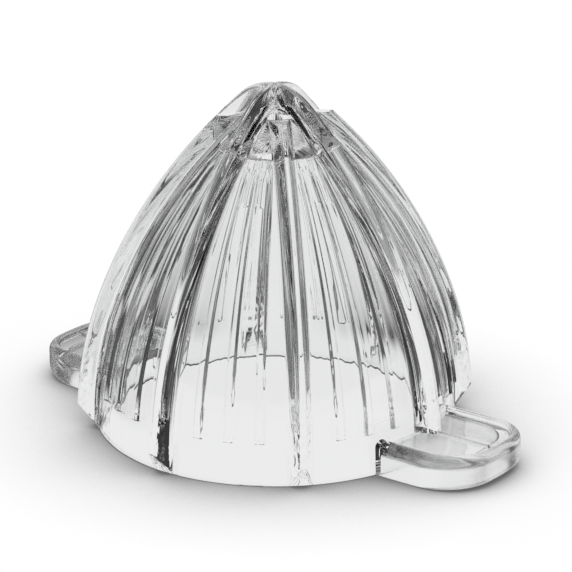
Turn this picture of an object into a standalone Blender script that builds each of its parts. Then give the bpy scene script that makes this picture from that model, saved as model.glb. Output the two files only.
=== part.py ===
"""Juicing cone of a citrus juicer, one clear moulding.

A hollow ogive with eight fins, fine ribs between them, and two lifting tabs at its foot.
Metres, +Z up. The origin is on the surface that the cone stands on, under its tip, and the tabs lie along X.
"""

import math

import bmesh
import bpy
from mathutils import Matrix, Vector

MM = 0.001

# The whole cone
BASE_RADIUS = 36.0 * MM
TIP_HEIGHT = 70.0 * MM
UPRIGHT_HEIGHT = 2.0 * MM
WALL = 1.8 * MM
CAVITY_DROP = 13.0 * MM
CEILING_FILLET = 0.6 * MM
BASE_CHAMFER = 0.4 * MM

# The crests' curve: a round lower arc, a flatter upper arc that leaves it at a slope, and a circle over the tip
ARC_JOINT = math.radians(19)
ARC_RATIO = 1.322
TIP_RADIUS = 12.5 * MM

# The eight fins: four long ones that meet at the tip, and four short ones with flat tops between them
FIN_COUNT = 8
FIN_RISE = 4.1 * MM
FIN_CREST_WIDTH = 1.2 * MM
FIN_ROOT_WIDTH = 4.6 * MM
FIN_TIP_ROOT_WIDTH = 3.4 * MM
SHORT_FIN_DROP = 6.0 * MM

# The fine ribs in each of the eight panels
RIBS_IN_PANEL = 3
RIB_PITCH = math.radians(9.9)
RIB_RISE = 0.7 * MM
RIB_TOP_RISE = 0.3 * MM
RIB_WIDTH = 2.3 * MM
RIB_TOP_WIDTH = 1.0 * MM
RIB_CREST_SHARE = 0.45
RIB_FOOT_HEIGHT = 8.6 * MM
RIB_TOP_DROP = 15.0 * MM

# The two tabs: a plate inside a raised rim, open underneath, with one low rib along its middle
TAB_LENGTH = 18.8 * MM
TAB_WIDTH = 25.2 * MM
TAB_HEIGHT = 7.2 * MM
TAB_LEADING_RADIUS = 10.0 * MM
TAB_TRAILING_RADIUS = 9.0 * MM
TAB_TOP_FILLET = 1.6 * MM
TAB_END_LEAN = 2.6 * MM
TAB_LEAN_HEIGHT = 2.8 * MM
RIM_WIDTH = 2.0 * MM
RIM_RISE = 1.0 * MM
RIM_SLOPE = 0.2
PLATE = 1.9 * MM
TAB_WALL = 1.7 * MM
POCKET_FILLET = 0.8 * MM
TAB_RIB_WIDTH = 1.3 * MM
TAB_RIB_CREST_WIDTH = 0.65 * MM
TAB_RIB_RISE = 0.5 * MM

# How finely round forms are cut
CAVITY_STEPS = 9
PANEL_STEPS = 8
SHOULDER_STEPS = 3
NECK_STEPS = 2
TIP_STEPS = 4
FILLET_STEPS = 3
CORNER_STEPS = 5
END_STEPS = 4
HALVINGS = 40
MERGE_DISTANCE = 0.001 * MM
SHARP_ANGLE = math.radians(30)

# Follows from the sizes above
CAVITY_HEIGHT = TIP_HEIGHT - CAVITY_DROP
SHORT_FIN_TOP = TIP_HEIGHT - SHORT_FIN_DROP
RIB_TOP_HEIGHT = TIP_HEIGHT - RIB_TOP_DROP
FIN_STEP = math.tau / FIN_COUNT
CREST_RADIUS = BASE_RADIUS + FIN_RISE
TIP_CENTRE = TIP_HEIGHT - TIP_RADIUS
ARC_ACROSS = 1 + (ARC_RATIO - 1) * math.cos(ARC_JOINT)
ARC_DOWN = (ARC_RATIO - 1) * math.sin(ARC_JOINT)
TAB_REACH = BASE_RADIUS + TAB_LENGTH
TAB_FLOOR = TAB_HEIGHT - RIM_RISE
POCKET_CEILING = TAB_FLOOR - PLATE
TAB_INNER_RADIUS = BASE_RADIUS - WALL / 2
TAB_CUT_RADIUS = BASE_RADIUS - 2 * WALL
FIN_END_HEIGHT = TAB_FLOOR - PLATE / 2


def lower_arc():
    """Radius of the crests' lower arc, for which the upper arc just touches the circle over the tip.

    Both arcs' centres follow from it, so the distance from the upper centre to the tip circle's is a
    quadratic in it.
    """
    tip_over_foot = TIP_CENTRE - UPRIGHT_HEIGHT
    square = 2 * (ARC_RATIO - 1) * (1 - math.cos(ARC_JOINT))
    half = ARC_ACROSS * CREST_RADIUS - ARC_DOWN * tip_over_foot - ARC_RATIO * TIP_RADIUS
    rest = CREST_RADIUS**2 + tip_over_foot**2 - TIP_RADIUS**2
    return rest / (half + math.sqrt(half**2 + square * rest))


LOWER_ARC = lower_arc()
LOWER_OFFSET = LOWER_ARC - CREST_RADIUS
UPPER_ARC = ARC_RATIO * LOWER_ARC
UPPER_OFFSET = ARC_ACROSS * LOWER_ARC - CREST_RADIUS
UPPER_CENTRE = UPRIGHT_HEIGHT - ARC_DOWN * LOWER_ARC
TIP_ANGLE = math.atan2(TIP_CENTRE - UPPER_CENTRE, UPPER_OFFSET)


def clear_scene():
    for item in list(bpy.data.objects):
        bpy.data.objects.remove(item, do_unlink=True)


def clear_plastic():
    """Colourless, glossy, clear moulded plastic."""
    material = bpy.data.materials.new("clear_plastic")
    material.use_nodes = True
    surface = material.node_tree.nodes["Principled BSDF"]
    surface.inputs["Base Color"].default_value = (0.95, 0.95, 0.94, 1)
    surface.inputs["Roughness"].default_value = 0.03
    surface.inputs["Metallic"].default_value = 0.0
    surface.inputs["IOR"].default_value = 1.57
    surface.inputs["Transmission Weight"].default_value = 1.0
    return material


def spaced(first, last, steps):
    return [first + (last - first) * i / steps for i in range(steps + 1)]


def arc_heights(low, high, steps):
    """Heights from low to high, equally spaced along the crests' upper arc."""
    first, last = (math.asin((height - UPPER_CENTRE) / UPPER_ARC) for height in (low, high))
    return [UPPER_CENTRE + UPPER_ARC * math.sin(angle) for angle in spaced(first, last, steps)]


def arc_distance(height, arc, centre, offset):
    """Distance from the axis of an arc whose centre is at that height and offset to the axis' far side."""
    return math.sqrt(max(arc**2 - (height - centre) ** 2, 0)) - offset


def sunk_distance(height, sunk):
    """Distance from the axis, at this height, of the crests' curve sunk by so much at right angles to it."""
    if height < UPRIGHT_HEIGHT + (LOWER_ARC - sunk) * math.sin(ARC_JOINT):
        return arc_distance(height, LOWER_ARC - sunk, UPRIGHT_HEIGHT, LOWER_OFFSET)
    if height < TIP_CENTRE + (TIP_RADIUS - sunk) * math.sin(TIP_ANGLE):
        return arc_distance(height, UPPER_ARC - sunk, UPPER_CENTRE, UPPER_OFFSET)
    return arc_distance(height, TIP_RADIUS - sunk, TIP_CENTRE, 0)


def wall_radius(height):
    return max(sunk_distance(height, FIN_RISE), 0)


def fin_distance(height, across):
    """Distance from the axis, along a fin, of its surface at this height and this far across from its middle.

    A fin's side is the crest's curve sunk ever deeper, and its sides stand closer together towards the tip.
    """
    root_width = FIN_ROOT_WIDTH + (FIN_TIP_ROOT_WIDTH - FIN_ROOT_WIDTH) * height / TIP_HEIGHT
    slope = 2 * FIN_RISE / (root_width - FIN_CREST_WIDTH)
    return sunk_distance(height, slope * max(across - FIN_CREST_WIDTH / 2, 0))


def polar(distance, across):
    """(radius, angle) of a point given along and across a fin."""
    return math.hypot(distance, across), math.atan2(across, distance)


def crest_half_width(height):
    """Half of the flat along a crest, which widens to the whole fin on the sloping face at its foot."""
    below = (FIN_END_HEIGHT - height) / (FIN_END_HEIGHT - BASE_CHAMFER)
    return (FIN_CREST_WIDTH + (FIN_ROOT_WIDTH - FIN_CREST_WIDTH) * max(below, 0)) / 2


def fin_side_end(height, valley_angle):
    """(radius, angle) where a fin's side ends: on the wall, or in the valley before the next fin.

    The valley lies at that angle from the fin's middle, and the place is found by halving.
    """
    near, far = crest_half_width(height), FIN_ROOT_WIDTH
    for _ in range(HALVINGS):
        across = (near + far) / 2
        distance = fin_distance(height, across)
        if math.hypot(distance, across) > wall_radius(height) and across < distance * math.tan(valley_angle):
            near = across
        else:
            far = across
    return polar(fin_distance(height, near), near)


def fin_points(middle, crest, root):
    """A fin's four points round the outline, from its crest's and its root's (radius, angle)."""
    return [
        (root[0], middle - root[1]),
        (crest[0], middle - crest[1]),
        (crest[0], middle + crest[1]),
        (root[0], middle + root[1]),
    ]


def panel_points(height, middle, root, ribbed):
    """A panel's points between two fins, four for each fine rib, which narrows and sinks towards the tip."""
    share = (height - RIB_FOOT_HEIGHT) / (RIB_TOP_HEIGHT - RIB_FOOT_HEIGHT)
    share = min(max(share, 0), 1)
    rise = (RIB_RISE + (RIB_TOP_RISE - RIB_RISE) * share) * ribbed
    half_width = (RIB_WIDTH + (RIB_TOP_WIDTH - RIB_WIDTH) * share) / 2
    room = FIN_STEP / 2 - root[1]
    points = []
    for i in range(RIBS_IN_PANEL):
        place = (i - (RIBS_IN_PANEL - 1) / 2) * RIB_PITCH
        for side, up in ((-1, 0), (-RIB_CREST_SHARE, rise), (RIB_CREST_SHARE, rise), (1, 0)):
            turn = place + side * half_width / root[0]
            points.append((root[0] + up, middle + min(max(turn, -room), room)))
    return points


def outline(height, ribbed=False, tab_fins=True, short_fins=True):
    """The cone's outer edge at one height as (radius, angle), with as many points at every height.

    Where a fin or a rib is left out, its points lie on what is next to it.
    """
    crest_width = crest_half_width(height)
    crest = polar(fin_distance(height, crest_width), crest_width)
    root = fin_side_end(height, FIN_STEP / 2)
    valley_radius = fin_side_end(height, FIN_STEP)[0]
    points = []
    for fin in range(FIN_COUNT):
        middle = fin * FIN_STEP
        over_tab = fin % (FIN_COUNT // 2) == 0
        fin_here = fin_points(middle, root if over_tab and not tab_fins else crest, root)
        panel_here = panel_points(height, middle + FIN_STEP / 2, root, ribbed)
        if fin % 2 and not short_fins:
            fin_here = [(valley_radius, middle)] * len(fin_here)
            panel_here = [(valley_radius, middle)] * len(panel_here)
        elif not short_fins:
            panel_here = [(valley_radius, middle + FIN_STEP)] * len(panel_here)
        points += fin_here + panel_here
    return points


def ring(points, height):
    return [Vector((radius * math.cos(angle), radius * math.sin(angle), height)) for radius, angle in points]


def cavity_profile():
    """(radius, height) down the hollow: its flat ceiling, a fillet, then a curve inside the wall's own."""
    edge = CAVITY_HEIGHT - CEILING_FILLET
    edge_radius = sunk_distance(edge, FIN_RISE + WALL)
    profile = [(0, CAVITY_HEIGHT)]
    for turn in spaced(math.pi / 2, 0, FILLET_STEPS):
        inward = CEILING_FILLET * (1 - math.cos(turn))
        profile.append((edge_radius - inward, edge + CEILING_FILLET * math.sin(turn)))
    for height in arc_heights(edge, 0, CAVITY_STEPS)[1:]:
        profile.append((sunk_distance(height, FIN_RISE + WALL), height))
    return profile


def tip_heights():
    """Heights above the short fins: up the crests' arc, then round the tip to where the crests meet."""
    last = math.acos(FIN_CREST_WIDTH / 2 / TIP_RADIUS)
    circle = [TIP_CENTRE + TIP_RADIUS * math.sin(angle) for angle in spaced(TIP_ANGLE, last, TIP_STEPS)]
    return arc_heights(SHORT_FIN_TOP, circle[0], NECK_STEPS) + circle[1:]


def cone_rings():
    """Rings from the cavity's ceiling down to the foot, out, and up the finned outside to the tip.

    Where a fin or a rib starts or stops, two rings share a height, and its level face lies between them.
    """
    foot = outline(BASE_CHAMFER, tab_fins=False)
    rings = [ring([(radius, angle) for _, angle in foot], height) for radius, height in cavity_profile()]
    rings.append(ring([(wall_radius(0) - BASE_CHAMFER, angle) for _, angle in foot], 0))
    rings.append(ring(foot, BASE_CHAMFER))
    rings.append(ring(outline(FIN_END_HEIGHT, tab_fins=False), FIN_END_HEIGHT))
    for height in (FIN_END_HEIGHT, RIB_FOOT_HEIGHT):
        rings.append(ring(outline(height), height))
    for height in arc_heights(RIB_FOOT_HEIGHT, RIB_TOP_HEIGHT, PANEL_STEPS):
        rings.append(ring(outline(height, ribbed=True), height))
    for height in arc_heights(RIB_TOP_HEIGHT, SHORT_FIN_TOP, SHOULDER_STEPS):
        rings.append(ring(outline(height), height))
    for height in tip_heights():
        rings.append(ring(outline(height, short_fins=False), height))
    rings.append(ring([(0, 0)] * len(foot), TIP_HEIGHT))
    return rings


def new_object(name, mesh):
    """An object whose round faces are smooth and whose corners stay sharp."""
    mesh.shade_smooth()
    mesh.set_sharp_from_angle(angle=SHARP_ANGLE)
    item = bpy.data.objects.new(name, mesh)
    bpy.context.scene.collection.objects.link(item)
    return item


def stack(name, rings):
    """A closed solid from rings with as many points each. Points that coincide become one."""
    shape = bmesh.new()
    levels = [[shape.verts.new(point) for point in points] for points in rings]
    for low, high in zip(levels, levels[1:]):
        for i, corner in enumerate(low):
            following = (i + 1) % len(low)
            shape.faces.new((corner, low[following], high[following], high[i]))
    shape.faces.new(reversed(levels[0]))
    shape.faces.new(levels[-1])
    bmesh.ops.remove_doubles(shape, verts=shape.verts, dist=MERGE_DISTANCE)
    bmesh.ops.recalc_face_normals(shape, faces=shape.faces)
    mesh = bpy.data.meshes.new(name)
    shape.to_mesh(mesh)
    shape.free()
    return new_object(name, mesh)


def boolean(target, tool, operation):
    """Joins a tool to the target or cuts it out. The tool is a guide, and isn't part of the object."""
    tool.hide_render = True
    tool.display_type = "WIRE"
    step = target.modifiers.new(tool.name, "BOOLEAN")
    step.operation = operation
    step.solver = "EXACT"
    step.object = tool


def corner(radius, reach, half_width, side):
    """Points of a tab's rounded corner, between its straight side and its end, an arc about the axis."""
    centre_v = half_width - radius
    centre_u = math.sqrt((reach - radius) ** 2 - centre_v**2)
    last = math.atan2(centre_v, centre_u)
    points = []
    for angle in spaced(math.pi / 2, last, CORNER_STEPS):
        points.append((centre_u + radius * math.cos(angle), side * (centre_v + radius * math.sin(angle))))
    return points, last


def tab_outline(inset, lean, inner_radius, height):
    """A tab's plan at one height, drawn in by inset at its sides and outer end, and by lean at that end too.

    Its outer end and its inner end are arcs about the axis.
    """
    half_width = TAB_WIDTH / 2 - inset
    reach = TAB_REACH - inset - lean
    leading, leading_end = corner(TAB_LEADING_RADIUS - inset, reach, half_width, -1)
    trailing, trailing_end = corner(TAB_TRAILING_RADIUS - inset, reach, half_width, 1)
    end = [
        (reach * math.cos(angle), reach * math.sin(angle))
        for angle in spaced(-leading_end, trailing_end, END_STEPS)[1:-1]
    ]
    inner_angle = math.asin(half_width / inner_radius)
    inner = [
        (inner_radius * math.cos(angle), inner_radius * math.sin(angle))
        for angle in spaced(inner_angle, -inner_angle, END_STEPS)
    ]
    return [Vector((u, v, height)) for u, v in leading + end + trailing[::-1] + inner]


def stacked_plans(name, stations, inner_radius, turn):
    """A solid from a stack of tab plans, each given by its (inset, lean, height)."""
    around = Matrix.Rotation(turn, 4, "Z")
    plans = [tab_outline(inset, lean, inner_radius, height) for inset, lean, height in stations]
    return stack(name, [[around @ point for point in plan] for plan in plans])


def tab_block(name, turn):
    """A tab before it is hollowed: drawn in below, more so at its end, and with a rounded top edge."""
    stations = []
    for angle in spaced(math.pi / 2, 0, FILLET_STEPS):
        share = 1 - math.cos(angle)
        height = TAB_LEAN_HEIGHT * (1 - math.sin(angle))
        stations.append((BASE_CHAMFER * share, TAB_END_LEAN * share, height))
    for angle in spaced(0, math.pi / 2, FILLET_STEPS):
        inset = TAB_TOP_FILLET * (1 - math.cos(angle))
        stations.append((inset, 0, TAB_HEIGHT - TAB_TOP_FILLET * (1 - math.sin(angle))))
    return stacked_plans(name, stations, TAB_INNER_RADIUS, turn)


def tab_recess(name, turn):
    """What is cut from a tab's top, down to its plate, inside the rim."""
    above = TAB_HEIGHT + RIM_RISE
    stations = [(RIM_WIDTH, 0, TAB_FLOOR), (RIM_WIDTH - (above - TAB_FLOOR) * RIM_SLOPE, 0, above)]
    return stacked_plans(name, stations, TAB_CUT_RADIUS, turn)


def tab_pocket(name, turn):
    """What is cut from a tab's underside, up to its plate."""
    stations = [
        (TAB_WALL, TAB_END_LEAN, -RIM_RISE),
        (TAB_WALL, TAB_END_LEAN, POCKET_CEILING - POCKET_FILLET),
        (TAB_WALL + POCKET_FILLET, TAB_END_LEAN, POCKET_CEILING),
    ]
    return stacked_plans(name, stations, TAB_CUT_RADIUS, turn)


def tab_rib(name, turn):
    """The low rib on a tab's plate, from the fin's foot to the rim."""
    around = Matrix.Rotation(turn, 4, "Z")
    low, high = TAB_FLOOR - PLATE / 2, TAB_FLOOR + TAB_RIB_RISE
    crest, foot = TAB_RIB_CREST_WIDTH / 2, TAB_RIB_WIDTH / 2
    sections = []
    for distance in (BASE_RADIUS, TAB_REACH - RIM_WIDTH / 2):
        corners = [(-crest, high), (crest, high), (foot, low), (-foot, low)]
        sections.append([around @ Vector((distance, across, height)) for across, height in corners])
    return stack(name, sections)


def tab(name, turn):
    """A whole tab, not yet joined to the wall."""
    block = tab_block(name, turn)
    boolean(block, tab_recess(f"{name}_recess", turn), "DIFFERENCE")
    boolean(block, tab_pocket(f"{name}_pocket", turn), "DIFFERENCE")
    boolean(block, tab_rib(f"{name}_rib", turn), "UNION")
    return block


def juicing_cone():
    """The whole moulding: the finned cone with its tabs grown onto it."""
    cone = stack("juicing_cone", cone_rings())
    for i in range(2):
        boolean(cone, tab(f"tab_{i}", math.pi * i), "UNION")
    cone.data.materials.append(clear_plastic())
    return cone


clear_scene()
juicing_cone()
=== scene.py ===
"""A clear juicing cone on a white floor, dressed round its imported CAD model.

The finned outside, the hollow and the two tabs are computed as surfaces and joined into one moulding. Lengths
are in metres, and MM turns millimetres into them.
"""

import math

import bmesh
import bpy
import numpy as np
from mathutils import Matrix, Vector


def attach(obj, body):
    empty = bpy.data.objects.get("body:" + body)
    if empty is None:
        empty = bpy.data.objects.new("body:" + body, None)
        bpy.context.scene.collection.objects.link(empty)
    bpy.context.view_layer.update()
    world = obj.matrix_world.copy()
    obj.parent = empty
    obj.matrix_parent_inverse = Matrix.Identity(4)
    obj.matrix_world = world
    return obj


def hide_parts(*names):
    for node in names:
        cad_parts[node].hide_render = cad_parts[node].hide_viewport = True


MM = 0.001

# Sizes of the cone, the same as the CAD model's
BASE_RADIUS = 36.0 * MM
TIP_HEIGHT = 70.0 * MM
UPRIGHT_HEIGHT = 2.0 * MM
WALL = 1.8 * MM
CAVITY_HEIGHT = 57.0 * MM
CEILING_FILLET = 0.6 * MM
BASE_CHAMFER = 0.4 * MM
ARC_JOINT = math.radians(19)
ARC_RATIO = 1.322
TIP_RADIUS = 12.5 * MM
FIN_COUNT = 8
FIN_RISE = 4.1 * MM
FIN_CREST_WIDTH = 1.2 * MM
FIN_ROOT_WIDTH = 4.6 * MM
FIN_TIP_ROOT_WIDTH = 3.4 * MM
SHORT_FIN_TOP = 64.0 * MM
RIBS_IN_PANEL = 3
RIB_PITCH = math.radians(9.9)
RIB_RISE = 0.7 * MM
RIB_TOP_RISE = 0.3 * MM
RIB_WIDTH = 2.3 * MM
RIB_TOP_WIDTH = 1.0 * MM
RIB_CREST_SHARE = 0.45
RIB_FOOT_HEIGHT = 8.6 * MM
RIB_TOP_HEIGHT = 55.0 * MM
TAB_REACH = 54.8 * MM
TAB_WIDTH = 25.2 * MM
TAB_HEIGHT = 7.2 * MM
TAB_LEADING_RADIUS = 10.0 * MM
TAB_TRAILING_RADIUS = 9.0 * MM
TAB_TOP_FILLET = 1.6 * MM
TAB_END_LEAN = 2.6 * MM
TAB_LEAN_HEIGHT = 2.8 * MM
RIM_WIDTH = 2.0 * MM
RIM_RISE = 1.0 * MM
PLATE = 1.9 * MM
TAB_WALL = 1.7 * MM
POCKET_FILLET = 0.8 * MM
TAB_RIB_WIDTH = 1.3 * MM
TAB_RIB_RISE = 0.5 * MM

# Rounding that only the dressed model has
CREST_ROUND = 0.25 * MM
ROOT_ROUND = 0.18 * MM
ROOT_REACH = 0.4 * MM
ROOT_FADE_AT_FOOT = 1.0 * MM
ROOT_FADE_AT_TIP = 2.0 * MM
RECESS_FILLET = 0.45 * MM
RECESS_LEAN = 0.15 * MM
RIB_FOOT_ROUND = 0.55 * MM
SHARP_ANGLE = math.radians(32)

# Follows from the sizes above
FIN_STEP = math.tau / FIN_COUNT
CREST_RADIUS = BASE_RADIUS + FIN_RISE
TIP_CENTRE = TIP_HEIGHT - TIP_RADIUS
ARC_ACROSS = 1 + (ARC_RATIO - 1) * math.cos(ARC_JOINT)
ARC_DOWN = (ARC_RATIO - 1) * math.sin(ARC_JOINT)
TAB_FLOOR = TAB_HEIGHT - RIM_RISE
POCKET_CEILING = TAB_FLOOR - PLATE
TAB_INNER_RADIUS = BASE_RADIUS - WALL / 2
TAB_CUT_RADIUS = BASE_RADIUS - 2 * WALL
FIN_END_HEIGHT = TAB_FLOOR - PLATE / 2

# Rows of points up the outside and down the hollow
FOOT_ROWS = 8
FIN_END_ROWS = 4
RIB_FOOT_ROWS = 5
RIBBED_ROWS = 42
SHORT_FIN_ROWS = 12
LONG_FIN_ROWS = 7
TIP_ROWS = 12
HOLLOW_ROWS = 34

# Where points lie across a fin and a panel, as shares of a fin's flat, of the rounding at its edge, of its
# side or of a gap, of the fillet at its root, and of half a rib
FLAT_SHARES = np.array([0, 0.5, 1])
EDGE_SHARES = np.array([-0.5, 0, 0.5, 1])
QUARTERS = np.array([0.25, 0.5, 0.75, 1])
ROOT_SHARES = np.array([0, 0.33, 0.66, 1])
RIB_SHARES = np.array([RIB_CREST_SHARE, 0.63, 0.82, 1])

# Points along the roundings and round the tabs
CEILING_STEPS = 7
CORNER_STEPS = 14
TAB_ARC_STEPS = 12
TAB_EDGE_STEPS = 9
FLOOR_FILLET_STEPS = 6
RIM_EDGE_STEPS = 5
TAB_RIB_STEPS = 9
HALVINGS = 40
MERGE_DISTANCE = 0.0005 * MM

# The camera that the photograph was taken with
PHOTO_SIDE = 572
FOCAL_PIXELS = 3000.0
SENSOR = 36.0
VIEW_AZIMUTH = math.radians(37.2)
VIEW_ELEVATION = math.radians(19.49)
VIEW_ROLL = math.radians(-0.06)
VIEW_DISTANCE = 597.9 * MM
AIM_RIGHT = 2.04 * MM
AIM_HEIGHT = 28.06 * MM

# The floor and its shadow
FLOOR_SIDE = 40.0
FLOOR_GAP = 0.05 * MM
FLOOR_WHITE = 0.93
SHADOW_REACH = 34.0 * MM
SHADOW_SAMPLES = 8
SHADOW_STOPS = [(0.3, 0.12), (0.55, 0.42), (0.8, 0.82), (0.97, 1.0)]

# What the plastic shows of the floor and of the studio round it, on the floor as painted light near by and
# painted shade at the sides. Each stop gives a level for a direction's turn from straight behind the object,
# as the
# cosine of that turn: 1 straight behind, -1 towards the camera
FLOOR_NEAR = 0.86
FLOOR_TURN_STOPS = [(-1.0, 0.85), (-0.5, 0.8), (-0.1, 0.05), (0.87, 0.03), (0.97, 0.75), (1.0, 0.88)]
DARK_FROM = 46.0 * MM
DARK_TO = 60.0 * MM
FAR_LEVEL = 0.7
FAR_FROM = 250.0 * MM
FAR_TO = 500.0 * MM
HORIZON_FROM = 0.02
HORIZON_TO = 0.06
STUDIO_TURN_STOPS = [(-1.0, 0.4), (-0.6, 0.3), (-0.3, 0.04), (0.87, 0.03), (0.97, 0.7), (1.0, 0.9)]
STUDIO_TOP = 0.3
SIDES_TO = 0.5
TOP_FROM = 0.8
MIRROR_BOUNCES = 8

# The plastic
PLASTIC_TINT = (0.965, 0.972, 0.968, 1)
PLASTIC_INDEX = 1.53
HAZE = 0.01
HAZE_SCALE = 260.0
HAZE_DETAIL = 3.0

# Waves that run up the cone from the flow in the mould: how many round it, how long, and where they are deep
STREAKS_ROUND = 13.0
STREAKS_ALONG = 6.0
STREAK_DETAIL = 0.5
STREAK_DEPTH = 0.16 * MM
STREAKS_FROM = 12.0 * MM
STREAKS_TO = 38.0 * MM
STREAKS_FADE = 50.0 * MM
STREAKS_END = 60.0 * MM
STREAKS_LEAST = 0.2

# Broken facets on the lower ends of the fins
FACET_SCALE = 600.0
FACET_DEPTH = 0.25 * MM
FACETS_TO = 9.0 * MM
FACETS_END = 20.0 * MM
FACETS_OUT = 2.4 * MM

# The matted hollow under each tab
MATT = 0.25
MATT_EDGE = 0.3 * MM


class Value:
    """A socket that can be used in Python arithmetic: every operation adds its Math node."""

    def __init__(self, graph, socket):
        self.graph = graph
        self.socket = socket

    def math(self, operation, *others):
        inputs = {0: self, **dict(enumerate(others, 1))}
        return self.graph.node("ShaderNodeMath", {"operation": operation}, inputs)

    def __add__(self, other):
        return self.math("ADD", other)

    def __radd__(self, other):
        return self.math("ADD", other)

    def __sub__(self, other):
        return self.math("SUBTRACT", other)

    def __rsub__(self, other):
        return (self * -1) + other

    def __mul__(self, other):
        return self.math("MULTIPLY", other)

    def __rmul__(self, other):
        return self.math("MULTIPLY", other)

    def __truediv__(self, other):
        return self.math("DIVIDE", other)

    def smooth(self, low, high):
        """0 up to low, 1 from high on, and a smooth step between."""
        inputs = {"Value": self, "From Min": low, "From Max": high}
        return self.graph.node("ShaderNodeMapRange", {"interpolation_type": "SMOOTHSTEP"}, inputs)

    def ramp(self, stops):
        """Level of a value from -1 to 1 by its (value, level) stops."""
        places = [((value + 1) / 2, level) for value, level in stops]
        return self.graph.node("ShaderNodeValToRGB", {"stops": places}, {"Fac": self * 0.5 + 0.5})

    def to(self, other, factor):
        """This value mixed towards another."""
        return self * (1 - factor) + factor * other

    def parts(self):
        """The x, y and z of a vector."""
        split = self.graph.node("ShaderNodeSeparateXYZ", {}, {"Vector": self})
        return [Value(self.graph, socket) for socket in split.socket.node.outputs]


class Graph:
    """The nodes of one material or of the world."""

    def __init__(self, owner):
        owner.use_nodes = True
        self.tree = owner.node_tree
        self.tree.nodes.clear()

    def node(self, kind, settings=None, inputs=None, output=0):
        """Adds a node: its settings first, then its sockets' values or links. Gives one of its outputs."""
        node = self.tree.nodes.new(kind)
        for name, value in (settings or {}).items():
            if name == "stops":
                set_stops(node.color_ramp, value)
            else:
                setattr(node, name, value)
        for name, value in (inputs or {}).items():
            if isinstance(value, Value):
                self.tree.links.new(value.socket, node.inputs[name])
            else:
                node.inputs[name].default_value = value
        return Value(self, node.outputs[output]) if node.outputs else None

    def glow(self, colour):
        """Light of this colour, at the strength at which 1 is white."""
        return self.node("ShaderNodeEmission", {}, {"Color": colour, "Strength": 1.0})

    def mixed(self, share, first, second):
        """The first shader where the share is 0, and the second where it is 1."""
        return self.node("ShaderNodeMixShader", {}, {0: share, 1: first, 2: second})


def set_stops(ramp, stops):
    """Gives a ramp its (position, grey) stops."""
    while len(ramp.elements) < len(stops):
        ramp.elements.new(0.5)
    for element, (position, level) in zip(ramp.elements, stops):
        element.position = position
        element.color = grey(level)


def grey(level):
    return (level, level, level, 1)


def lower_arc():
    """Radius of the lower arc for which the upper arc touches the tip's circle: a quadratic's root."""
    tip_over_foot = TIP_CENTRE - UPRIGHT_HEIGHT
    square = 2 * (ARC_RATIO - 1) * (1 - math.cos(ARC_JOINT))
    half = ARC_ACROSS * CREST_RADIUS - ARC_DOWN * tip_over_foot - ARC_RATIO * TIP_RADIUS
    rest = CREST_RADIUS**2 + tip_over_foot**2 - TIP_RADIUS**2
    return rest / (half + math.sqrt(half**2 + square * rest))


LOWER_ARC = lower_arc()
LOWER_OFFSET = LOWER_ARC - CREST_RADIUS
UPPER_ARC = ARC_RATIO * LOWER_ARC
UPPER_OFFSET = ARC_ACROSS * LOWER_ARC - CREST_RADIUS
UPPER_CENTRE = UPRIGHT_HEIGHT - ARC_DOWN * LOWER_ARC
TIP_ANGLE = math.atan2(TIP_CENTRE - UPPER_CENTRE, UPPER_OFFSET)


def arc_distance(height, arc, centre, offset):
    """Distance of an arc from the axis: the root of its radius squared less height squared, less offset."""
    return np.sqrt(np.maximum(arc**2 - (height - centre) ** 2, 0)) - offset


def sunk_distance(height, sunk):
    """Distance from the axis of the crests' curve sunk square to itself: two arcs, then the tip's circle."""
    lower = arc_distance(height, LOWER_ARC - sunk, UPRIGHT_HEIGHT, LOWER_OFFSET)
    upper = arc_distance(height, UPPER_ARC - sunk, UPPER_CENTRE, UPPER_OFFSET)
    tip = arc_distance(height, TIP_RADIUS - sunk, TIP_CENTRE, 0)
    over_joint = height >= UPRIGHT_HEIGHT + (LOWER_ARC - sunk) * math.sin(ARC_JOINT)
    on_tip = height >= TIP_CENTRE + (TIP_RADIUS - sunk) * math.sin(TIP_ANGLE)
    return np.where(on_tip, tip, np.where(over_joint, upper, lower))


def wall_radius(height):
    return np.maximum(sunk_distance(height, FIN_RISE), 0)


def softened(excess, width):
    """The positive part of excess, with a parabola this wide in place of its corner."""
    blend = np.clip(excess + width, 0, 2 * width) ** 2 / (4 * width)
    return np.where(excess > width, excess, blend)


def fin_distance(height, across, flat):
    """Distance along a fin of its surface, at a height and across its middle.

    The crests' curve sinks in proportion to how far across lies beyond the flat, faster towards the tip.
    """
    root_width = FIN_ROOT_WIDTH + (FIN_TIP_ROOT_WIDTH - FIN_ROOT_WIDTH) * height / TIP_HEIGHT
    slope = 2 * FIN_RISE / (root_width - FIN_CREST_WIDTH)
    beyond = softened(across - flat, CREST_ROUND) + np.maximum(flat - FIN_CREST_WIDTH / 2, 0)
    return sunk_distance(height, slope * beyond)


def crest_half_width(height):
    """Half of a crest's flat. It grows in proportion below the fin's end, as the foot is cut to a slope."""
    below = np.maximum((FIN_END_HEIGHT - height) / (FIN_END_HEIGHT - BASE_CHAMFER), 0)
    return (FIN_CREST_WIDTH + (FIN_ROOT_WIDTH - FIN_CREST_WIDTH) * below) / 2


def fin_side_end(height, valley_angle):
    """How far across a fin's side ends, on the wall or in the valley at that angle, by halving."""
    flat = crest_half_width(height)
    near = flat
    far = np.full_like(flat, FIN_ROOT_WIDTH)
    for _ in range(HALVINGS):
        across = (near + far) / 2
        distance = fin_distance(height, across, flat)
        over_wall = np.hypot(distance, across) > wall_radius(height)
        on_side = over_wall & (across < distance * math.tan(valley_angle))
        near = np.where(on_side, across, near)
        far = np.where(on_side, far, across)
    return near


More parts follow.
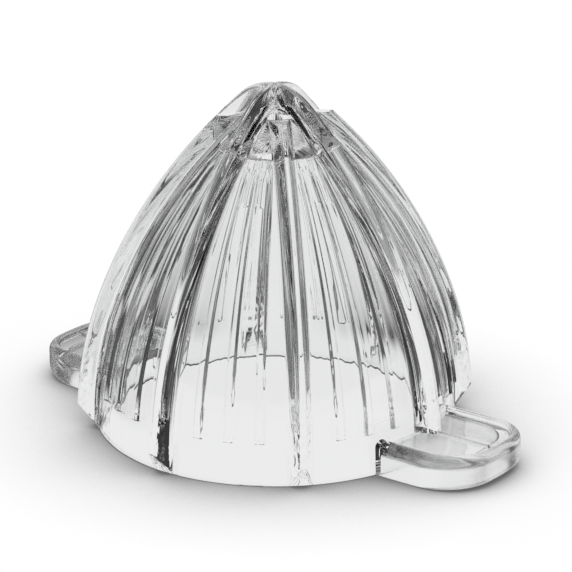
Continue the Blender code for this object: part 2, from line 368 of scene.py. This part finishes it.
def root_fillet(away, height):
    """How far the fillet at a fin's root stands out: a parabola of the distance from the root line."""
    fade = np.clip((height - BASE_CHAMFER) / ROOT_FADE_AT_FOOT, 0, 1)
    fade = fade * np.clip((TIP_HEIGHT - height) / ROOT_FADE_AT_TIP, 0, 1)
    return fade * ROOT_ROUND * np.clip(1 - np.abs(away) / ROOT_REACH, 0, 1) ** 2


def rib_size(height):
    """(rise, half width) of a fine rib, both in proportion to the height from its foot to its top."""
    share = np.clip((height - RIB_FOOT_HEIGHT) / (RIB_TOP_HEIGHT - RIB_FOOT_HEIGHT), 0, 1)
    rise = RIB_RISE + (RIB_TOP_RISE - RIB_RISE) * share
    return rise, (RIB_WIDTH + (RIB_TOP_WIDTH - RIB_WIDTH) * share) / 2


def rib_rise(angle, height, ribbed, radius):
    """Height of the fine ribs over the wall: flat-topped humps about a panel's three angles."""
    rise, half_width = rib_size(height)
    places = FIN_STEP / 2 + (np.arange(RIBS_IN_PANEL) - (RIBS_IN_PANEL - 1) / 2) * RIB_PITCH
    off = np.abs(angle[..., None] - places).min(axis=-1) / (half_width / radius)
    slope = np.clip((1 - off) / (1 - RIB_CREST_SHARE), 0, 1)
    return rise * ribbed * slope**2 * (3 - 2 * slope)


def fin_places(height, end):
    """How far across each fin column lies: over the flat, round its edge and down the side to its end."""
    flat = crest_half_width(height)
    crest = np.maximum(flat - CREST_ROUND, 0) * FLAT_SHARES
    edge = flat + CREST_ROUND * EDGE_SHARES
    first = flat + CREST_ROUND
    side = first + (end - ROOT_REACH - first) * QUARTERS
    root = end - ROOT_REACH * ROOT_SHARES[2::-1]
    half = np.minimum(np.hstack([crest, edge, side, root]), end)
    return np.maximum.accumulate(half, axis=1)


def panel_places(height, root_angle, root_radius):
    """Angle of each panel column from the fin before: close together by both fins and on rib slopes."""
    half_rib = rib_size(height)[1] / root_radius
    by_root = root_angle + ROOT_REACH / root_radius * ROOT_SHARES[1:]
    on_rib = half_rib * np.hstack([-RIB_SHARES[::-1], 0, RIB_SHARES])
    middle = FIN_STEP / 2
    first_rib = middle - RIB_PITCH + on_rib
    gap = by_root[:, -1:] + (first_rib[:, :1] - by_root[:, -1:]) * QUARTERS[:-1]
    left = np.hstack([by_root, gap, first_rib, middle - RIB_PITCH / 2 + np.zeros_like(height)])
    angles = np.hstack([left, middle + on_rib, FIN_STEP - left[:, ::-1]])
    return np.clip(angles, root_angle, FIN_STEP - root_angle)


def fin_columns(height, end):
    """(radius, angle) of one fin's columns, down one side and then down the other."""
    across = fin_places(height, end)
    distance = fin_distance(height, across, crest_half_width(height))
    radius = np.hypot(distance, across) + root_fillet(end - across, height)
    angle = np.arctan2(across, distance)
    return np.hstack([radius[:, :0:-1], radius]), np.hstack([-angle[:, :0:-1], angle])


def panel_columns(height, ribbed, root_angle, root_radius):
    """(radius, angle) of one panel's columns, with the wall, the fillets at both fins and the ribs."""
    angle = panel_places(height, root_angle, root_radius)
    from_root = np.minimum(angle, FIN_STEP - angle) - root_angle
    radius = root_radius + root_fillet(from_root * root_radius, height)
    return radius + rib_rise(angle, height, ribbed, root_radius), angle


def outlines(height, ribbed, tab_fins, short_fins):
    """The cone's outer edge at many heights at once, as (radius, angle) arrays of one row per height.

    Every argument is a column of values. Where a fin is left out, its points lie on what is next to it.
    """
    flat = crest_half_width(height)
    root_across = fin_side_end(height, FIN_STEP / 2)
    root_distance = fin_distance(height, root_across, flat)
    root_angle = np.arctan2(root_across, root_distance)
    root_radius = np.hypot(root_across, root_distance)
    valley_across = fin_side_end(height, FIN_STEP)
    valley_radius = np.hypot(valley_across, fin_distance(height, valley_across, flat))
    fin_radius, fin_angle = fin_columns(height, root_across)
    panel_radius, panel_angle = panel_columns(height, ribbed, root_angle, root_radius)

    radii = []
    angles = []
    for fin in range(FIN_COUNT):
        middle = fin * FIN_STEP
        over_tab = fin % (FIN_COUNT // 2) == 0
        is_short = fin % 2 == 1
        here_radius = fin_radius
        here_angle = middle + fin_angle
        if over_tab:
            here_radius = np.where(tab_fins, fin_radius, root_radius)
            here_angle = np.where(tab_fins, here_angle, middle + np.clip(fin_angle, -root_angle, root_angle))
        if is_short:
            here_radius = np.where(short_fins, fin_radius, valley_radius)
            here_angle = np.where(short_fins, here_angle, middle)
        valley = middle if is_short else middle + FIN_STEP
        radii += [here_radius, np.where(short_fins, panel_radius, valley_radius)]
        angles += [here_angle, np.where(short_fins, middle + panel_angle, valley)]
    return np.hstack(radii), np.hstack(angles)


def arc_heights(low, high, steps):
    """Heights equally spaced along the crests' upper arc."""
    first, last = (math.asin((height - UPPER_CENTRE) / UPPER_ARC) for height in (low, high))
    return UPPER_CENTRE + UPPER_ARC * np.sin(np.linspace(first, last, steps))


def plain_rows(heights, tab_fins, short_fins):
    """Rows without fine ribs, as (height, ribbed, tab_fins, short_fins)."""
    return [(height, 0, tab_fins, short_fins) for height in heights]


def cone_rows():
    """(height, ribbed, tab_fins, short_fins) of each row up the outside. Rows at a level face share a height.

    At their feet the ribs rise along a quarter circle.
    """
    rib_full = RIB_FOOT_HEIGHT + RIB_FOOT_ROUND
    turns = np.linspace(1 / RIB_FOOT_ROWS, 1, RIB_FOOT_ROWS) * math.pi / 2
    crest_end = math.acos(FIN_CREST_WIDTH / 2 / TIP_RADIUS)
    tip = TIP_CENTRE + TIP_RADIUS * np.sin(np.linspace(TIP_ANGLE, crest_end, TIP_ROWS))
    rows = plain_rows(np.linspace(BASE_CHAMFER, FIN_END_HEIGHT, FOOT_ROWS), 0, 1)
    rows += plain_rows(np.linspace(FIN_END_HEIGHT, RIB_FOOT_HEIGHT, FIN_END_ROWS), 1, 1)
    rib_foot = RIB_FOOT_HEIGHT + RIB_FOOT_ROUND * (1 - np.cos(turns))
    rows += [(height, share, 1, 1) for height, share in zip(rib_foot, np.sin(turns))]
    rows += [(height, 1, 1, 1) for height in arc_heights(rib_full, RIB_TOP_HEIGHT, RIBBED_ROWS)[1:]]
    rows += plain_rows(arc_heights(RIB_TOP_HEIGHT, SHORT_FIN_TOP, SHORT_FIN_ROWS)[1:], 1, 1)
    rows += plain_rows(arc_heights(SHORT_FIN_TOP, tip[0], LONG_FIN_ROWS), 1, 0)
    rows += plain_rows(tip[1:], 1, 0)
    return np.array(rows)


def cavity_profile():
    """(radius, height) down the hollow: a flat ceiling, a quarter circle, then an arc inside the wall."""
    edge = CAVITY_HEIGHT - CEILING_FILLET
    turn = np.linspace(math.pi / 2, 0, CEILING_STEPS)
    fillet = sunk_distance(edge, FIN_RISE + WALL) - CEILING_FILLET * (1 - np.cos(turn))
    heights = arc_heights(edge, 0, HOLLOW_ROWS)[1:]
    radius = np.hstack([0, fillet[:1] / 2, fillet, sunk_distance(heights, FIN_RISE + WALL)])
    height = np.hstack([CAVITY_HEIGHT, CAVITY_HEIGHT, edge + CEILING_FILLET * np.sin(turn), heights])
    return radius, height


def cone_points():
    """The cone's whole skin as a grid: rows run down the hollow, over the foot and up the finned outside."""
    height, ribbed, tab_fins, short_fins = cone_rows().T[:, :, None]
    outer_radius, outer_angle = outlines(height, ribbed, tab_fins > 0, short_fins > 0)
    inner_radius, inner_height = (column[:, None] for column in cavity_profile())
    angle = outer_angle[:1]
    round_once = np.ones_like(angle)
    foot_radius = wall_radius(0) - BASE_CHAMFER
    inside = [inner_radius * round_once, foot_radius * round_once]
    radius = np.vstack([*inside, outer_radius, 0 * angle])
    turn = np.vstack([angle.repeat(len(inner_radius) + 1, axis=0), outer_angle, angle])
    level = np.vstack([inner_height, [[0]], height, [[TIP_HEIGHT]]]) * np.ones_like(radius)
    return np.stack([radius * np.cos(turn), radius * np.sin(turn), level], axis=-1)


def skin(name, points):
    """A closed mesh over a grid of points whose rows are rings. Points that coincide become one."""
    rows, columns = points.shape[:2]
    index = np.arange(rows * columns).reshape(rows, columns)
    after = np.roll(index, -1, axis=1)
    quads = np.stack([index[:-1], after[:-1], after[1:], index[1:]], axis=-1).reshape(-1, 4)
    ends = [index[0][::-1].tolist(), index[-1].tolist()]
    mesh = bpy.data.meshes.new(name)
    mesh.from_pydata(points.reshape(-1, 3).tolist(), [], quads.tolist() + ends)
    shape = bmesh.new()
    shape.from_mesh(mesh)
    bmesh.ops.remove_doubles(shape, verts=shape.verts, dist=MERGE_DISTANCE)
    bmesh.ops.recalc_face_normals(shape, faces=shape.faces)
    shape.to_mesh(mesh)
    shape.free()
    item = bpy.data.objects.new(name, mesh)
    bpy.context.scene.collection.objects.link(item)
    return item


def arc_points(radius, angle):
    """Points in plan on a circle about the axis."""
    return radius * np.stack([np.cos(angle), np.sin(angle)], axis=-1)


def corner(radius, reach, half_width, side):
    """A tab's rounded corner in plan: a circle between its straight side and its end, itself an arc."""
    centre_v = half_width - radius
    centre_u = math.sqrt((reach - radius) ** 2 - centre_v**2)
    last = math.atan2(centre_v, centre_u)
    angle = np.linspace(math.pi / 2, last, CORNER_STEPS)
    u = centre_u + radius * np.cos(angle)
    v = side * (centre_v + radius * np.sin(angle))
    return np.stack([u, v], axis=-1), last


def tab_plan(inset, lean, inner_radius, height, turn):
    """A tab's outline at one height, drawn in by inset at its sides and outer end, there by lean too.

    Both its ends are arcs about the axis.
    """
    half_width = TAB_WIDTH / 2 - inset
    reach = TAB_REACH - inset - lean
    leading, leading_end = corner(TAB_LEADING_RADIUS - inset, reach, half_width, -1)
    trailing, trailing_end = corner(TAB_TRAILING_RADIUS - inset, reach, half_width, 1)
    end = arc_points(reach, np.linspace(-leading_end, trailing_end, TAB_ARC_STEPS)[1:-1])
    inner_angle = np.linspace(1, -1, TAB_ARC_STEPS) * math.asin(half_width / inner_radius)
    inner = arc_points(inner_radius, inner_angle)
    u, v = np.vstack([leading, end, trailing[::-1], inner]).T
    x = u * math.cos(turn) - v * math.sin(turn)
    y = u * math.sin(turn) + v * math.cos(turn)
    return np.stack([x, y, np.full_like(x, height)], axis=-1)


def tab_solid(name, stations, inner_radius, turn):
    """A solid from tab plans stacked up, each with its (inset, lean, height)."""
    plans = [tab_plan(inset, lean, inner_radius, height, turn) for inset, lean, height in stations]
    return skin(name, np.stack(plans))


def quarter(first, last, steps):
    """(inset, lean, height) along a quarter turn that leaves first upright and reaches last level."""
    angle = np.linspace(0, math.pi / 2, steps)[:, None]
    upright = np.array([0, 0, 1])
    share = (1 - np.cos(angle)) * (1 - upright) + np.sin(angle) * upright
    return (np.array(first) + (np.array(last) - np.array(first)) * share).tolist()


def tab_block(turn):
    """A tab before it is hollowed: drawn in below, more so at its end, upright, then rounded at its top."""
    foot = (BASE_CHAMFER, TAB_END_LEAN, 0)
    top = (TAB_TOP_FILLET, 0, TAB_HEIGHT)
    stations = quarter((0, 0, TAB_LEAN_HEIGHT), foot, TAB_EDGE_STEPS)[::-1]
    stations += quarter((0, 0, TAB_HEIGHT - TAB_TOP_FILLET), top, TAB_EDGE_STEPS)
    return tab_solid("tab_block", stations, TAB_INNER_RADIUS, turn)


def tab_recess(turn):
    """The space inside a tab's rim: a fillet round its floor, a leaning wall and the rim's rounded edge."""
    low = (RIM_WIDTH, 0, TAB_FLOOR + RECESS_FILLET)
    high = (RIM_WIDTH - RECESS_LEAN, 0, TAB_HEIGHT - RECESS_FILLET)
    stations = quarter(low, (RIM_WIDTH + RECESS_FILLET, 0, TAB_FLOOR), FLOOR_FILLET_STEPS)[::-1]
    stations += quarter(high, (TAB_TOP_FILLET, 0, TAB_HEIGHT), RIM_EDGE_STEPS)
    stations.append((TAB_TOP_FILLET - RIM_RISE / 2, 0, TAB_HEIGHT + RIM_RISE))
    return tab_solid("tab_recess", stations, TAB_CUT_RADIUS, turn)


def tab_pocket(turn):
    """The hollow under a tab's plate, with a fillet round its ceiling."""
    side = (TAB_WALL, TAB_END_LEAN, POCKET_CEILING - POCKET_FILLET)
    ceiling = (TAB_WALL + POCKET_FILLET, TAB_END_LEAN, POCKET_CEILING)
    stations = [(TAB_WALL, TAB_END_LEAN, -RIM_RISE)]
    stations += quarter(side, ceiling, FLOOR_FILLET_STEPS)
    return tab_solid("tab_pocket", stations, TAB_CUT_RADIUS, turn)


def tab_rib(turn):
    """The low rib on a tab's plate, carried out to the rim: its height is the root of a sine across it."""
    angle = np.linspace(0, math.pi, TAB_RIB_STEPS)
    across = TAB_RIB_WIDTH / 2 * np.cos(angle)
    height = TAB_FLOOR - PLATE / 2 + (PLATE / 2 + TAB_RIB_RISE) * np.sin(angle) ** 0.5
    rings = []
    for distance in (BASE_RADIUS, TAB_REACH - RIM_WIDTH / 2):
        x = distance * math.cos(turn) - across * math.sin(turn)
        y = distance * math.sin(turn) + across * math.cos(turn)
        rings.append(np.stack([x, y, height], axis=-1))
    return skin("tab_rib", np.stack(rings))


def combine(target, tool, operation):
    """Joins a tool to the target or cuts it out, and takes the tool away."""
    step = target.modifiers.new(tool.name, "BOOLEAN")
    step.operation = operation
    step.solver = "EXACT"
    step.object = tool
    result = target.evaluated_get(bpy.context.evaluated_depsgraph_get())
    mesh = bpy.data.meshes.new_from_object(result)
    target.modifiers.clear()
    target.data = mesh
    bpy.data.objects.remove(tool, do_unlink=True)
    return target


def tab(turn):
    """A whole tab: its block, less the recess and the pocket, with the low rib."""
    block = combine(tab_block(turn), tab_recess(turn), "DIFFERENCE")
    block = combine(block, tab_pocket(turn), "DIFFERENCE")
    return combine(block, tab_rib(turn), "UNION")


def clear_cone():
    """The whole moulding, smooth but for its true corners."""
    cone = skin("clear_cone", cone_points())
    for turn in (0, math.pi):
        cone = combine(cone, tab(turn), "UNION")
    cone.data.name = "clear_cone"
    cone.data.shade_smooth()
    cone.data.set_sharp_from_angle(angle=SHARP_ANGLE)
    return cone


def in_pocket(radius, y, z):
    """1 within the hollow under a tab, by its distance from the axis, half its width and its height."""
    outer = TAB_REACH - TAB_WALL / 2
    side = (TAB_WIDTH - TAB_WALL) / 2
    ceiling = POCKET_CEILING + PLATE / 2
    past_wall = radius.smooth(BASE_RADIUS, BASE_RADIUS + MATT_EDGE)
    past_end = radius.smooth(outer, outer + MATT_EDGE)
    past_side = y.math("ABSOLUTE").smooth(side, side + MATT_EDGE)
    above = z.smooth(ceiling, ceiling + MATT_EDGE)
    return past_wall * (1 - past_end) * (1 - past_side) * (1 - above)


def on_fin_ends(radius, y, z):
    """1 on the lower ends of the fins, 0 on the wall, whose arc is taken as a parabola, and on the tabs."""
    over = z - UPRIGHT_HEIGHT
    wall = BASE_RADIUS - over * over / (2 * (LOWER_ARC - FIN_RISE))
    outside = (radius - wall).smooth(FACETS_OUT / 2, FACETS_OUT)
    low = 1 - z.smooth(FACETS_TO, FACETS_END)
    beside_tab = y.math("ABSOLUTE").smooth(TAB_WIDTH / 2, TAB_WIDTH / 2 + MM)
    over_tab = z.smooth(TAB_HEIGHT, TAB_HEIGHT + MM)
    return outside * low * beside_tab.math("MAXIMUM", over_tab)


def flow_waves(graph, x, y, z, radius):
    """Waves up the cone: noise on a circle round it, stretched along its height, least at foot and tip."""
    around = graph.node("ShaderNodeCombineXYZ", {}, {
        "X": x / radius * STREAKS_ROUND,
        "Y": y / radius * STREAKS_ROUND,
        "Z": z * STREAKS_ALONG,
    })
    wave = graph.node("ShaderNodeTexNoise", {}, {"Vector": around, "Scale": 1.0, "Detail": STREAK_DETAIL})
    share = z.smooth(STREAKS_FROM, STREAKS_TO) * (1 - z.smooth(STREAKS_FADE, STREAKS_END))
    return wave * (share * (1 - STREAKS_LEAST) + STREAKS_LEAST)


def clear_plastic():
    """Colourless plastic as clear as glass, with the slight waviness and haze that moulding leaves."""
    material = bpy.data.materials.new("clear_plastic")
    graph = Graph(material)
    place = graph.node("ShaderNodeTexCoord", output="Object")
    x, y, z = place.parts()
    radius = (x * x + y * y).math("SQRT").math("MAXIMUM", MM)
    waves = flow_waves(graph, x, y, z, radius)
    facets = graph.node("ShaderNodeTexVoronoi", {}, {"Vector": place, "Scale": FACET_SCALE})
    height = waves * STREAK_DEPTH + facets * on_fin_ends(radius, y, z) * FACET_DEPTH
    haze_inputs = {"Vector": place, "Scale": HAZE_SCALE, "Detail": HAZE_DETAIL}
    haze = graph.node("ShaderNodeTexNoise", {}, haze_inputs)
    surface = graph.node("ShaderNodeBsdfPrincipled", {}, {
        "Base Color": PLASTIC_TINT,
        "Roughness": haze * HAZE + in_pocket(radius, y, z) * MATT,
        "IOR": PLASTIC_INDEX,
        "Transmission Weight": 1.0,
        "Normal": graph.node("ShaderNodeBump", {}, {"Strength": 1.0, "Distance": 1.0, "Height": height}),
    })
    graph.node("ShaderNodeOutputMaterial", {}, {"Surface": surface})
    return material


def seen_in_plastic(graph):
    """1 for rays that a clear or mirroring surface sends on, else 0."""
    mirrored = graph.node("ShaderNodeLightPath", output="Is Glossy Ray")
    passed = graph.node("ShaderNodeLightPath", output="Is Transmission Ray")
    return mirrored.math("MAXIMUM", passed)


def behind(vector):
    """(cosine, length) of a vector's level part: the cosine of its turn from straight behind the object."""
    x, y, _ = vector.parts()
    along = y * math.cos(VIEW_AZIMUTH) - x * math.sin(VIEW_AZIMUTH)
    length = (x * x + y * y).math("SQRT")
    return along / length.math("MAXIMUM", MM), length


def shadow(graph):
    """The level that the object's soft shadow leaves on the floor, by how open the floor is to the light."""
    inputs = {"Distance": SHADOW_REACH}
    open_share = graph.node("ShaderNodeAmbientOcclusion", {"samples": SHADOW_SAMPLES}, inputs, output="AO")
    return graph.node("ShaderNodeValToRGB", {"stops": SHADOW_STOPS}, {"Fac": open_share})


def white_floor():
    """White with a soft shadow. In the plastic it glows with painted light near by, painted shade at the
    sides and light far out.
    """
    material = bpy.data.materials.new("white_floor")
    graph = Graph(material)
    turn, distance = behind(graph.node("ShaderNodeTexCoord", output="Object"))
    # Painted light and shade, seen only in the plastic: a glowing pool near the object, dark at the sides,
    # light far out
    level = turn.ramp(FLOOR_TURN_STOPS).to(FLOOR_NEAR, 1 - distance.smooth(DARK_FROM, DARK_TO))
    level = level.to(FAR_LEVEL, distance.smooth(FAR_FROM, FAR_TO))
    matt = graph.node("ShaderNodeBsdfDiffuse", {}, {"Color": grey(FLOOR_WHITE)})
    by_plastic = graph.mixed(seen_in_plastic(graph), matt, graph.glow(level))
    by_camera = graph.node("ShaderNodeLightPath", output="Is Camera Ray")
    surface = graph.mixed(by_camera, by_plastic, graph.glow(shadow(graph)))
    graph.node("ShaderNodeOutputMaterial", {}, {"Surface": surface})
    return material


def floor():
    """A plain floor, far wider than the view, with a hair of air between it and the plastic."""
    half = FLOOR_SIDE / 2
    corners = [(x * half, y * half, -FLOOR_GAP) for x, y in ((-1, -1), (1, -1), (1, 1), (-1, 1))]
    mesh = bpy.data.meshes.new("floor")
    mesh.from_pydata(corners, [], [(0, 1, 2, 3)])
    mesh.materials.append(white_floor())
    item = bpy.data.objects.new("floor", mesh)
    bpy.context.scene.collection.objects.link(item)


def studio():
    """Even white light. In the plastic it is light behind and at the horizon, and dark at both sides."""
    world = bpy.data.worlds.new("studio")
    bpy.context.scene.world = world
    graph = Graph(world)
    direction = graph.node("ShaderNodeTexCoord", output="Generated")
    turn, _ = behind(direction)
    height = direction.parts()[2]
    level = turn.ramp(STUDIO_TURN_STOPS).to(STUDIO_TOP, height.smooth(SIDES_TO, TOP_FROM))
    level = level.to(FAR_LEVEL, 1 - height.smooth(HORIZON_FROM, HORIZON_TO))
    white = graph.node("ShaderNodeBackground", {}, {"Color": grey(1.0), "Strength": 1.0})
    cards = graph.node("ShaderNodeBackground", {}, {"Color": level, "Strength": 1.0})
    graph.node("ShaderNodeOutputWorld", {}, {"Surface": graph.mixed(seen_in_plastic(graph), white, cards)})


def camera():
    """The photograph's camera: its place from the fitted aim, distance, azimuth, elevation and roll."""
    right = Vector((math.cos(VIEW_AZIMUTH), math.sin(VIEW_AZIMUTH), 0))
    toward = Vector((math.sin(VIEW_AZIMUTH), -math.cos(VIEW_AZIMUTH), 0))
    back = toward * math.cos(VIEW_ELEVATION) + Vector((0, 0, math.sin(VIEW_ELEVATION)))
    up = back.cross(right)
    x_axis = right * math.cos(VIEW_ROLL) + up * math.sin(VIEW_ROLL)
    y_axis = back.cross(x_axis)
    aim = right * AIM_RIGHT + Vector((0, 0, AIM_HEIGHT))
    turned = Matrix((x_axis, y_axis, back)).transposed().to_4x4()
    data = bpy.data.cameras.new("camera")
    data.sensor_width = SENSOR
    data.lens = SENSOR * FOCAL_PIXELS / PHOTO_SIDE
    item = bpy.data.objects.new("camera", data)
    item.matrix_world = Matrix.Translation(aim + back * VIEW_DISTANCE) @ turned
    bpy.context.scene.collection.objects.link(item)
    bpy.context.scene.camera = item


def let_light_through():
    """More mirrored bounces, so that light finds its way out of the thick parts of the plastic."""
    bpy.context.scene.cycles.glossy_bounces = MIRROR_BOUNCES


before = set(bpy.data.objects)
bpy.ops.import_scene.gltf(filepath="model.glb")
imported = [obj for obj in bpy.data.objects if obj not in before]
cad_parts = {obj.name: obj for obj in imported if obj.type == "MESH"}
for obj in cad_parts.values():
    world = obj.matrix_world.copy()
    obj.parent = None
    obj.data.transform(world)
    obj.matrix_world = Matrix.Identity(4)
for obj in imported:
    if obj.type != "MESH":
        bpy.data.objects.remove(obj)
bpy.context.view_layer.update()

bpy.context.scene.view_settings.view_transform = "Standard"
let_light_through()
camera()
studio()
floor()

cone = clear_cone()
cone.data.materials.clear()
cone.data.materials.append(clear_plastic())
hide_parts("juicing_cone")
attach(cone, "root")
